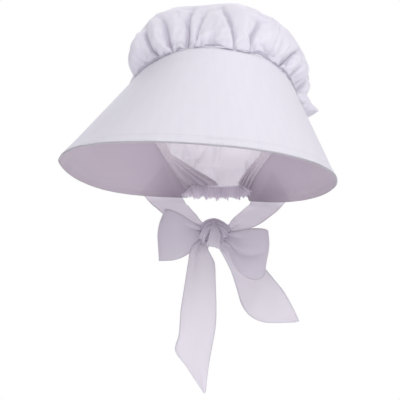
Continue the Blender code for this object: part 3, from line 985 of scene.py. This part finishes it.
def cubic(values, at, ring):
    """Values between the given ones, along cubic curves."""
    count, low = len(values), np.floor(at).astype(int)
    t = (at - low)[:, None, None]
    near = [low + k for k in (-1, 0, 1, 2)]
    a, b, c, d = (values[k % count if ring else np.clip(k, 0, count - 1)] for k in near)
    return b + 0.5 * t * (c - a + t * (2 * a - 5 * b + 4 * c - d + t * (3 * (b - c) + d - a)))


def hollows(grid):
    """How deep each point lies below the cloth around it, from 0 to 1."""
    height = np.linalg.norm(grid - DOME_MIDDLE, axis=-1)
    weights = np.exp(-((AROUND_IT / AROUND_REACH) ** 2))
    around = sum(w * np.roll(height, k, axis=0) for k, w in zip(AROUND_IT, weights))
    return np.clip((around / weights.sum() - height) / HOLLOW_DEPTH, 0, 1) ** 0.8


def side_shape(grid, ups):
    """The right side's own outline: a full upper puff and a small one below it."""
    x, y, z = np.moveaxis(grid, -1, 0)
    shift = np.interp(z, *zip(*RIGHT_OUTLINE)) * np.clip((x - 62.0) / 34.0, 0, 1)
    shift = shift * (np.exp(-(((y - 25.0) / 45.0) ** 2)) * np.clip(ups / FOLD_START, 0, 1)[None, :])
    return np.stack([x + shift, y, z], axis=-1)


def make_crown():
    grid, place, heights = crown_grid()
    around = np.linspace(0, CROWN_AROUND, FINE_AROUND, endpoint=False)
    upwards = np.linspace(0, CROWN_UP - 1, FINE_UP)
    grid = cubic(simulated(grid, heights), around, ring=True)
    grid = cubic(grid.swapaxes(0, 1), upwards, ring=False).swapaxes(0, 1)
    places = np.interp(around, np.arange(CROWN_AROUND + 1), np.append(place, NAPE_PLACE))
    ups = np.interp(upwards, np.arange(CROWN_UP), heights)
    height = np.stack([fold_depth(places, up, CRISP) for up in ups], axis=1)
    height = height + gather_height(places, ups)
    grid = grid + unit(grid - DOME_MIDDLE) * height[..., None]
    hollow = hollows(grid)
    grid = side_shape(grid, ups)
    grid[:, -1] = grid[:, -1].mean(axis=0)
    over = lengths(grid[len(grid) // 3])
    cloths = [THIN_COTTON, LIT_THIN_LINING]
    piece = sheet_piece("crown_cloth", grid, cloths, CROWN_WALL, ring=True, over=over)
    store_hollow(piece, hollow)
    piece.modifiers.new("tip", "WELD").merge_threshold = TIP_WELD * MM
    piece.modifiers.move(1, 0)  # the tip is closed before the wall is made
    return made(piece)


crown = make_crown()

# %% [markdown]
# ## Inside: the seam binding and the nape frill
#
# Where crown meets brim, the raw edges are covered by a strip of binding. It gets
# wider towards the nape, where it lies over the gathered cloth, most of all on
# the left. At the nape the crown is drawn in by elastic, and its edge hangs below
# as a frill.

# %% Seam binding
BINDING_ENDS = 8  # steps of the seam left free at both ends
BINDING_ACROSS, BINDING_WALL = 30, 0.6
WIDER_FROM, WIDER_OVER = 0.86, 0.12  # places on the seam
WIDER_LEFT, WIDER_RIGHT = 32.0, 9.0  # mm at the nape
HEAD_MIDDLE, NECK_MIDDLE = np.array([0.0, 5.0, -100.0]), np.array([0.0, 20.0, -150.0])


def less(vectors, axis, share=1.0):
    """The vectors without this share of what they have along the axis."""
    return vectors - share * (vectors * axis).sum(axis=1, keepdims=True) * axis


def inward(foot, outward):
    """Square to the seam and to the brim, on the side of the head."""
    towards = less(HEAD_MIDDLE - foot, outward)
    return unit(less(towards, unit(np.gradient(foot, axis=0))))


def make_binding():
    """A strip over the seam; towards the nape it widens and takes in the gathers."""
    foot, _, outward = brim_line(SEAM_POINTS)
    foot, outward = foot[BINDING_ENDS:-BINDING_ENDS], outward[BINDING_ENDS:-BINDING_ENDS]
    inside = inward(foot, outward)
    up = unit(less(unit(DOME_MIDDLE + 60.0 * DOME_AXIS - foot), outward, 0.5))
    step = np.arange(len(foot))[:, None]
    waves = 0.5 * np.sin(step * 0.83 + 2 * np.sin(step * 0.021))
    waves = waves + 0.3 * np.sin(step * 2.1 + 1.5 * np.sin(step * 0.05))
    place = np.linspace(-1, 1, len(foot))[:, None]
    near_nape = np.clip((np.abs(place) - WIDER_FROM) / WIDER_OVER, 0, 1)
    aside = np.where(place < 0, [1.0, 0.3, 0.0], [-1.0, 0.3, 0.0])
    wider = np.where(place < 0, WIDER_LEFT, WIDER_RIGHT) * near_nape
    columns, valleys = [], []
    for share in np.linspace(1.0, 0.0, BINDING_ACROSS):
        ridge = np.sin(2 * math.pi * (3.7 * share + 0.3 * np.sin(step * 0.05) + 0.15))
        lift = 2.4 + 1.8 * share + 1.3 * near_nape * ridge + waves * (0.3 + 0.4 * share)
        out, height = 3.0 * max(0.0, 1 - 2.5 * share), 6.0 - 2.0 * near_nape
        spot = foot + outward * out + inside * lift + up * share * height
        columns.append(spot + aside * share * wider)
        middle = math.exp(-(((share - 0.46) / 0.24) ** 4))
        dip = 0.5 * middle + (0.15 + 0.35 * middle) * (0.5 - 0.5 * ridge)
        valleys.append((near_nape * dip)[:, 0])
    piece = sheet_piece("seam_binding", np.stack(columns, axis=1), [BINDING], BINDING_WALL)
    store_hollow(piece, np.stack(valleys, axis=1))
    return made(piece)


binding = make_binding()

# %% Nape frill
FRILL_FROM = 0.98  # place on the seam where the frill starts, 1 being its end
FRILL_LOOP_POINTS, FRILL_STATIONS = 4000, 24
FRILL_ALONG, FRILL_DOWN = 520, 12  # points of the sheet
FRILL_ABOVE, FRILL_BELOW, FRILL_WALL = 5.5, 11.5, 0.5  # mm above and below the crown's edge


def make_frill():
    edge, place = crown_edge(FRILL_LOOP_POINTS)
    ends = np.flatnonzero(place >= FRILL_FROM), np.flatnonzero(place <= -FRILL_FROM)
    line = edge[np.concatenate(ends)]
    line = through(line[:: len(line) // FRILL_STATIONS], np.linspace(0.0, 1.0, FRILL_ALONG))
    tangent = unit(np.gradient(line, axis=0))
    inside = unit(less(unit(NECK_MIDDLE - line), tangent))
    down = np.cross(tangent, inside)
    down *= np.where(down[:, 2:3] > 0, -1.0, 1.0)
    step = np.linspace(-1, 1, FRILL_ALONG)
    middle = 1 - np.abs(step)
    wave = np.sin(19 * math.pi * step + 2.6 * np.sin(6 * step))
    fine = np.sin(71 * math.pi * step + 3.0 * np.sin(11 * step + 1))
    lumps = np.sin(6.2 * math.pi * step + 1.1) + 0.7 * np.sin(11 * math.pi * step + 0.4)
    drop = FRILL_BELOW - 4.0 * np.clip(middle * 2.2, 0, 1)
    drop = drop + 1.3 * lumps + 1.5 * fine * wave + 0.8 * fine
    columns = []
    for share in np.linspace(0.0, 1.0, FRILL_DOWN):
        out = 2.6 + 1.6 * wave * (0.4 + share) + 0.8 * fine * (0.5 + 0.5 * share)
        out = out + 3.4 * (1 - np.clip(middle * 2.6, 0, 1))
        low = share * (drop + FRILL_ABOVE) - FRILL_ABOVE
        columns.append(line + inside * out[:, None] + down * low[:, None])
    grid = np.stack(columns, axis=1)
    return made(sheet_piece("nape_frill_cloth", grid, [LIT_FRILL], FRILL_WALL))


frill = make_frill()

# %% [markdown]
# ## Ribbons
#
# Each length of ribbon is laid between its two edges, row by row, with a belly so
# that it isn't flat. The rows are those of the solids, and the sheet between
# them is much finer, with soft ripples, pleats where an end is pinched, and
# creases that come out of the knot.

# %% The ribbons' rows
TIE_LEFT = [  # left edge x y z, right edge x y z, belly
    (-54, 80.5, -150, -47, 83.5, -150, 0),
    (-64, 81.5, -164, -41, 88, -163, 0),
    (-74, 80.5, -178.5, -35, 89.5, -177, 0),
    (-69, 79.5, -185, -29.5, 87, -184.5, 0),
    (-63.5, 76, -189.5, -26, 80, -188.5, 0.5),
    (-55.9, 60, -193.5, -22.5, 62, -189.5, 1),
    (-42.6, 40, -201.6, -16.1, 41, -194.5, 1.5),
    (-27.9, 20, -205.7, -8.8, 20, -199.4, 1.5),
    (-13.5, 0, -209.6, -2.7, 0, -203.9, 1.5),
    (-0.3, -25, -213.5, 4.4, -24.6, -206.6, 0.5),
    (7, -29, -215, 9.5, -29, -209, 0),
]
TIE_RIGHT = [
    (53, 83, -148, 60, 80, -147.5, 0),
    (47, 88, -163, 70, 81.5, -162, 0),
    (42.5, 89.5, -177, 79, 79.5, -176.5, 0),
    (40.5, 87, -184, 76, 78.5, -182, 0),
    (37.3, 80, -187.1, 71, 73.5, -188.3, 0.5),
    (34.6, 60, -190.8, 66, 50, -193.9, 1),
    (31.4, 40, -195.3, 57, 30, -202.5, 1.5),
    (28.8, 20, -199.1, 48.1, 10, -207.9, 1.5),
    (27.3, 0, -202, 39.1, -5, -210.2, 1.5),
    (25.6, -24.2, -206.2, 28.6, -24.7, -213, 0.5),
    (20, -29, -209.5, 22, -29, -214.5, 0),
]
LOOP_LEFT = [  # top edge x y z, low edge x y z, belly: out behind, back in front
    (8, -28.5, -211.5, 8, -28.5, -217, 0),
    (1, -27, -208.5, 0.8, -27, -218, 0),
    (-12, -25, -204.5, -11, -25, -230, 1),
    (-25, -24, -198.5, -24, -24, -239, 2),
    (-34, -26.5, -195.5, -36, -27, -243.5, 2.5),
    (-36.5, -32.5, -194.8, -38.3, -33, -244.8, 4),
    (-33, -38, -193.7, -36, -38, -244.7, 3),
    (-23.1, -41.5, -196, -22.2, -41.5, -242.7, 2.5),
    (-10.3, -39, -203, -8.3, -39, -235.1, 2),
    (1.65, -35, -209.5, 1.5, -35, -222.5, 0.5),
    (8.5, -33, -211.5, 8.5, -33, -219.5, 0),
]
LOOP_RIGHT = [
    (23, -28.5, -213, 23, -28.5, -219, 0),
    (30.3, -27, -211.5, 30, -27, -221, 0),
    (43, -25, -210.5, 41, -25, -238, 1),
    (54, -24, -209, 52, -24, -250, 2),
    (63.5, -27.5, -208.5, 61.5, -28, -253.5, 2),
    (66.5, -33.5, -208.8, 65.5, -34, -250, 1.5),
    (61.5, -40, -206.9, 62.5, -40, -255, 2.5),
    (50.7, -43, -207.2, 52.5, -43, -256.5, 3),
    (41, -40.5, -209.6, 39, -40.5, -248.5, 2.5),
    (29.5, -35, -212.5, 27, -35, -229, 0.5),
    (22.5, -33, -213.5, 21, -33, -223.5, 0),
]
TAIL_LEFT = [  # left edge x y z, right edge x y z, belly
    (7.5, -33, -215.5, 13, -33, -221, 0),
    (1.6, -37, -220.4, 9, -37.4, -228.4, 0),
    (-7, -45.5, -231, 12.6, -44, -235.5, 1),
    (-9, -47, -246, 17, -45, -243.5, 2),
    (-10.9, -46.5, -266, 18.9, -44, -262, 2),
    (-13.3, -45, -290.6, 20.9, -42, -284, 1.5),
    (-13.9, -43, -314.2, 21.3, -41, -305, 1.5),
    (-16.5, -42, -330.1, 19, -40, -325, 1),
    (-5.2, -41, -345, 17, -40, -342, 0.5),
    (14, -40, -370.8, 15.5, -40, -368, 0),
]
TAIL_RIGHT = [  # left edge x y z, right edge x y z, belly
    (14.5, -30, -220.5, 20, -29, -217.5, 0),
    (19, -27.9, -229.2, 26.8, -25, -225.7, 0),
    (24.6, -21.5, -239, 42, -18.5, -231, -0.5),
    (31.2, -20, -250.5, 58, -17, -240, -1),
    (37.6, -19, -266.5, 73, -17.5, -255, 0),
    (44.5, -20, -284, 85, -19, -268, 1),
    (53, -22, -293.5, 93, -21, -280, 1),
    (66, -24, -298.5, 99, -23, -290.5, 0.5),
    (97, -25, -296.6, 101.5, -25, -295.2, 0),
]
print("rows of the ties, loops and tails:", [len(rows) for rows in (TIE_LEFT, LOOP_LEFT, TAIL_LEFT)])

# %% Ribbon helper
RIBBON_ALONG, RIBBON_ACROSS = 170, 33  # points of the sheet
RIBBON_WALL, RIPPLE, PINCH = 0.45, 0.5, 1.1  # mm


def ribbon(name, rows, kind, creases):
    """A sheet over the rows; creases run from the knot's end."""
    cloth, (pinch_first, pinch_last), knot_at, _ = kind
    path = through(rows, np.linspace(0.0, 1.0, RIBBON_ALONG))
    left, right, belly = path[:, 0:3], path[:, 3:6], path[:, 6:7]
    share = np.linspace(0.0, 1.0, RIBBON_ACROSS)[None, :]
    t = np.linspace(0, 1, RIBBON_ALONG)[:, None]
    middle = (left + right) / 2
    front = unit(np.cross(unit(np.gradient(middle, axis=0)), right - left))
    front *= -np.sign(front[-RIBBON_ALONG // 4 :, 1].sum())  # its last stretch faces the front
    squeeze = pinch_first * np.exp(-((t / 0.2) ** 2)) + pinch_last * np.exp(-(((1 - t) / 0.2) ** 2))
    fan = 1.4 - 2.2 * np.abs(np.cos(math.pi * (2.6 * share + 0.15))) ** 0.8
    lift = np.sin(math.pi * share) * belly
    lift = lift + RIPPLE * np.sin(2 * math.pi * (1.2 * share + 1.7 * t))
    lift = lift + PINCH * squeeze * fan
    for at_knot, outer, reach, deep in creases:
        gone = np.abs(knot_at - t)
        spread = np.clip(gone / reach, 0, 1)
        centre, width = at_knot + (outer - at_knot) * spread, 0.036 + 0.06 * spread
        valley = np.exp(-(np.abs((share - centre) / width) ** 1.3))
        lift = lift - deep * valley * (1 - spread**2) * np.clip(gone / 0.05, 0, 1)
    grid = left[:, None] + (right - left)[:, None] * share[..., None]
    grid = grid + front[:, None] * lift[:, :, None]
    run, over = lengths(middle), (share[0] - 0.5) * RIBBON_WIDTH
    piece = sheet_piece(name, grid, [cloth], RIBBON_WALL, along=run, over=over)
    return made(piece), run[-1]


print("a ribbon is", RIBBON_WIDTH, "mm wide and", RIBBON_ACROSS, "points across")


# %% Ties, loops and tails
TIE = (LIT_TIE_RIBBON, (1.0, 1.0), 1.0, "hung")  # cloth, pinch of both ends, knot's end, how held
LOOP_OF_BOW = (RIBBON, (0.5, 0.9), 1.0, "folded")
TAIL = (RIBBON, (1.2, 0.0), 0.0, "hung")
CREASES_LEFT = [(0.30, 0.20, 0.26, 3.2), (0.60, 0.56, 0.30, 2.4), (0.82, 0.90, 0.30, 2.0)]
CREASES_RIGHT = [(0.26, 0.18, 0.24, 3.2), (0.68, 0.46, 0.46, 5.0), (0.92, 0.86, 0.22, 2.2)]
RIBBONS = [  # name, solid, rows, kind, creases (at the knot, further out, reach, depth)
    ("tie_left_ribbon", "tie_left", TIE_LEFT, TIE, []),
    ("tie_right_ribbon", "tie_right", TIE_RIGHT, TIE, []),
    ("loop_left_ribbon", "bow_loop_left", LOOP_LEFT, LOOP_OF_BOW, CREASES_LEFT),
    ("loop_right_ribbon", "bow_loop_right", LOOP_RIGHT, LOOP_OF_BOW, CREASES_RIGHT),
    ("tail_left_ribbon", "bow_tail_left", TAIL_LEFT, TAIL, [(0.4, 0.22, 0.42, 3.2)]),
    ("tail_right_ribbon", "bow_tail_right", TAIL_RIGHT, TAIL, [(0.5, 0.3, 0.5, 2.0)]),
]

ribbons = []  # piece, solid, length, how held
for name, solid, rows, kind, creases in RIBBONS:
    piece, run = ribbon(name, rows, kind, creases)
    ribbons.append((piece, solid, run, kind[-1]))

# %% [markdown]
# ## The knot
#
# A tied ribbon shows as a lump of folded turns. One turn arches over the top, a
# short one leaves for the left tail, and the last one comes down over the front.
# Each is a flat tube laid between its two edges, with pleats that run along it,
# and a creased core fills the lump behind them.

# %% The knot's turns
KNOT_MIDDLE, KNOT_HALF = np.array([14.3, -31.0, -214.3]), np.array([12.6, 8.5, 9.8])
TOP_TURN = [  # upper edge x y z, lower edge x y z, thickness: arches over the top
    (-1.1, -28, -215.3, 3.3, -30, -219.9, 2),
    (0.4, -32, -209.3, 6.7, -38, -216.6, 3),
    (2.9, -33, -204.8, 9.7, -42, -212, 3.4),
    (7.7, -33, -201.9, 13.1, -43, -209.8, 3.4),
    (13.2, -33, -200.8, 17.4, -42, -210, 3.4),
    (19, -33, -202.1, 21.3, -40, -212.2, 3.2),
    (23.8, -32, -204.7, 24.9, -38, -215, 3),
    (27.6, -30, -208.1, 26.6, -34, -219.3, 2.6),
    (28.7, -27, -213, 26.5, -29, -221.9, 1.6),
]
FRONT_TURN = [  # left edge, right edge, thickness: down over the front and back under
    (10.6, -36, -202.7, 16, -36, -202.9, 1.6),
    (11.2, -43, -206, 16.1, -42, -206, 2),
    (10.7, -47, -211.3, 18.9, -45, -210.8, 2.2),
    (9.8, -48, -217.2, 21.1, -46, -216.5, 2.2),
    (8.7, -47, -222.6, 20.9, -46, -223.3, 2.2),
    (8, -43, -225.3, 21.4, -43, -228.2, 2.2),
    (8.9, -36, -223.3, 19.9, -36, -226, 2),
    (9.8, -32, -218.5, 18.8, -32, -220.8, 1.6),
]
SIDE_TURN = [  # the short stretch from the front turn to the left tail
    (13, -42, -210.3, 9.7, -40, -207.1, 1.6),
    (9, -43, -215.4, 3.9, -38, -210.9, 2.2),
    (6.8, -42, -219.9, 1.2, -37, -215.5, 2.4),
    (5.8, -39, -224.4, -0.1, -35, -221, 2),
    (4.7, -35, -227.5, -0.5, -33, -225, 1.4),
]
print("rows of the knot's turns:", [len(rows) for rows in (TOP_TURN, FRONT_TURN, SIDE_TURN)])

# %% Knot
TURN_STEPS, TURN_SPOKES = 90, 120
CORE_STEPS, CORE_SPOKES = 40, 60
CORE_BOXY, CORE_CREASE = 2.5, 0.07  # 2 is an ellipsoid; the crease is a share of the size


def closed_tube(rings):
    """Points and faces of a tube over the rings, closed at both ends."""
    count, spokes = rings.shape[:2]
    points = [rings[0].mean(axis=0), *rings.reshape(-1, 3), rings[-1].mean(axis=0)]
    base = 1 + (count - 1) * spokes
    faces = []
    for k in range(spokes):
        n = (k + 1) % spokes
        faces += [(0, 1 + n, 1 + k), (len(points) - 1, base + k, base + n)]
        for a in range(1, base, spokes):
            b = a + spokes
            faces.append((a + k, a + n, b + n, b + k))
    return points, faces


def turn_of_ribbon(rows, pleats, deep, phase):
    """A folded ribbon laid between its two edges, with pleats that run along it."""
    path = through(rows, np.linspace(0.0, 1.0, TURN_STEPS))
    middle, half = (path[:, 0:3] + path[:, 3:6]) / 2, (path[:, 3:6] - path[:, 0:3]) / 2
    out = unit(np.cross(unit(np.gradient(middle, axis=0)), half))
    out *= np.sign((out * (middle - KNOT_MIDDLE)).sum())
    angle = 2 * math.pi * np.arange(TURN_SPOKES)[None, :] / TURN_SPOKES
    share, boxy = signed_power(np.cos(angle), 0.8), signed_power(np.sin(angle), 0.5)
    drift = np.linspace(0.0, 1.1, TURN_STEPS)[:, None]
    fold = np.abs(np.cos(pleats * math.pi * share / 2 + phase + drift)) ** 0.7 - 0.5
    lift = boxy * path[:, 6:7] / 2 + deep * fold
    return closed_tube(middle[:, None] + half[:, None] * share[..., None] + out[:, None] * lift[..., None])


def knot_core():
    """A boxy lump with slanting creases."""
    tall = math.pi * np.linspace(0.03, 0.97, CORE_STEPS)[:, None]
    turn = 2 * math.pi * np.arange(CORE_SPOKES)[None, :] / CORE_SPOKES
    x, y = np.sin(tall) * np.cos(turn), np.sin(tall) * np.sin(turn)
    way = np.stack([x, y, np.cos(tall) * np.ones_like(turn)], axis=-1)
    size = (np.abs(way) ** CORE_BOXY).sum(axis=-1) ** (-1 / CORE_BOXY)
    crease = CORE_CREASE * np.cos((way[..., 0] * 0.85 + way[..., 2] * 0.75) * 9.0 + 0.6)
    return closed_tube(KNOT_MIDDLE + way * KNOT_HALF * (size * (1 + crease))[..., None])


def fix_normals(piece):
    """Turns every closed shell of the mesh to face outwards."""
    shape = bmesh.new()
    shape.from_mesh(piece.data)
    bmesh.ops.recalc_face_normals(shape, faces=shape.faces)
    shape.to_mesh(piece.data)
    shape.free()


def make_knot():
    points, faces, shade_indices = [], [], []
    # each shape takes one of the ribbon's copies in painted shade, by its index
    shapes = (
        (0, knot_core()),
        (0, turn_of_ribbon(TOP_TURN, 3, 1.3, 0.3)),
        (1, turn_of_ribbon(SIDE_TURN, 3, 1.3, 0.9)),
        (2, turn_of_ribbon(FRONT_TURN, 1, 0.9, 0.5)),
    )
    for shade_index, (more_points, more_faces) in shapes:
        faces += [tuple(k + len(points) for k in face) for face in more_faces]
        shade_indices += [shade_index] * len(more_faces)
        points += more_points
    piece = mesh_object("knot_ribbon", points, faces, KNOT_RIBBONS_IN_SHADE)
    piece.data.polygons.foreach_set("material_index", shade_indices)
    fix_normals(piece)
    layer = piece.data.uv_layers.new(name="cloth")
    flat = np.array(points)[[loop.vertex_index for loop in piece.data.loops]]
    across = (flat[:, 0] * 0.66 - flat[:, 2] * 0.75) * MM
    layer.data.foreach_set("uv", np.column_stack([across, across * 0]).astype(np.float32).ravel())
    return made(piece)


knot = make_knot()

# %% [markdown]
# ## Stitches
#
# Two rows of topstitching hold the hem, and one row the seam. A stitch repeats
# hundreds of times along a line, so Geometry Nodes lays them: the line is cut at
# even steps, a short six-sided rod is put at each point along the line's own
# direction, and the copies are made real, because the export keeps no instances.

# %% Stitch rows
BRIM_LEFT_OVER = 6.0  # mm of brim that a row needs beyond it, or it stops
STITCH_ROWS = [  # name, edge that it follows, mm from that edge, mm out from the middle of the wall
    ("hem_stitch_outer", "rim", 7.6, 1.0),
    ("hem_stitch_edge", "rim", 1.8, 1.2),
    ("seam_stitch", "seam", 4.0, 0.95),
]


def stitch_tree():
    tree = Tree("topstitch")
    line, thread = tree.ask("Line", "Object"), tree.ask("Material", "Material")
    step, length = tree.ask("Step", "Float", 0.0032), tree.ask("Stitch", "Float", 0.0022)
    radius = tree.ask("Thread radius", "Float", 0.0002)
    curve = tree.add("GeometryNodeMeshToCurve", {}, {"Mesh": tree.shape_of(line)})
    cut = tree.add("GeometryNodeResampleCurve", {"mode": "LENGTH"}, {"Curve": curve, "Length": step})
    spots = tree.add("GeometryNodeCurveToPoints", {"mode": "EVALUATED"}, {"Curve": cut})
    tangent = Wire(tree, spots.socket.node.outputs["Tangent"])
    sizes = {"Vertices": 6, "Radius": radius, "Depth": length}
    rod = tree.add("GeometryNodeMeshCylinder", {"fill_type": "TRIANGLE_FAN"}, sizes)
    aim = tree.add("FunctionNodeAlignRotationToVector", {"axis": "Z"}, {"Vector": tangent})
    laid = {"Points": spots, "Instance": rod, "Rotation": aim}
    return tree.finish(tree.add("GeometryNodeInstanceOnPoints", {}, laid), thread)


def beside(edge, gap, lift):
    """A line on the brim's outer face, so far from its rim or from its seam."""
    foot, rim, outward = brim_line(SEAM_POINTS)
    keep = np.linalg.norm(rim - foot, axis=1) > gap + BRIM_LEFT_OVER
    spot = rim - outward * gap if edge == "rim" else foot + outward * gap
    return (spot - inward(foot, outward) * lift)[keep]


def stitch_row(tree, name, edge, gap, lift):
    line = edge_line(name + " line", beside(edge, gap, lift))
    row = run_tree(tree, name, {"Line": line, "Material": THREAD_WHITE})
    bpy.data.objects.remove(line, do_unlink=True)
    return made(row)


topstitch = stitch_tree()
stitches = [stitch_row(topstitch, *row) for row in STITCH_ROWS]

# %% [markdown]
# ## Put every piece on the body
#
# Each piece rides on the one body and stands for its solid.


# %% Ride and replace
def stand_for(piece, slot, *nodes):
    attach(piece, "root")
    if nodes:
        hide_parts(*nodes)


bpy.context.view_layer.update()
cloths = ((brim, "brim"), (crown, "crown"), (binding, "seam_band"), (frill, "nape_frill"))
for piece, solid in cloths:
    stand_for(piece, "white_cotton", solid)
for piece, solid, _, _ in ribbons:
    stand_for(piece, "white_ribbon", solid)
stand_for(knot, "white_ribbon", "bow_knot")
for row in stitches:
    stand_for(row, "white_cotton")
print(len(cloths), "cloths,", len(ribbons), "ribbons, a knot and", len(stitches), "rows of stitches")

# %% Sheets
TAPER = 0.84  # the ties are cut narrower towards the bow, and the tails on a slant
for piece, _, run, held in ribbons:
    width, length = RIBBON_WIDTH * MM, run * MM
    TAPER * width * length
print(len(cloths) + len(ribbons), "sheets and 1 padded piece")
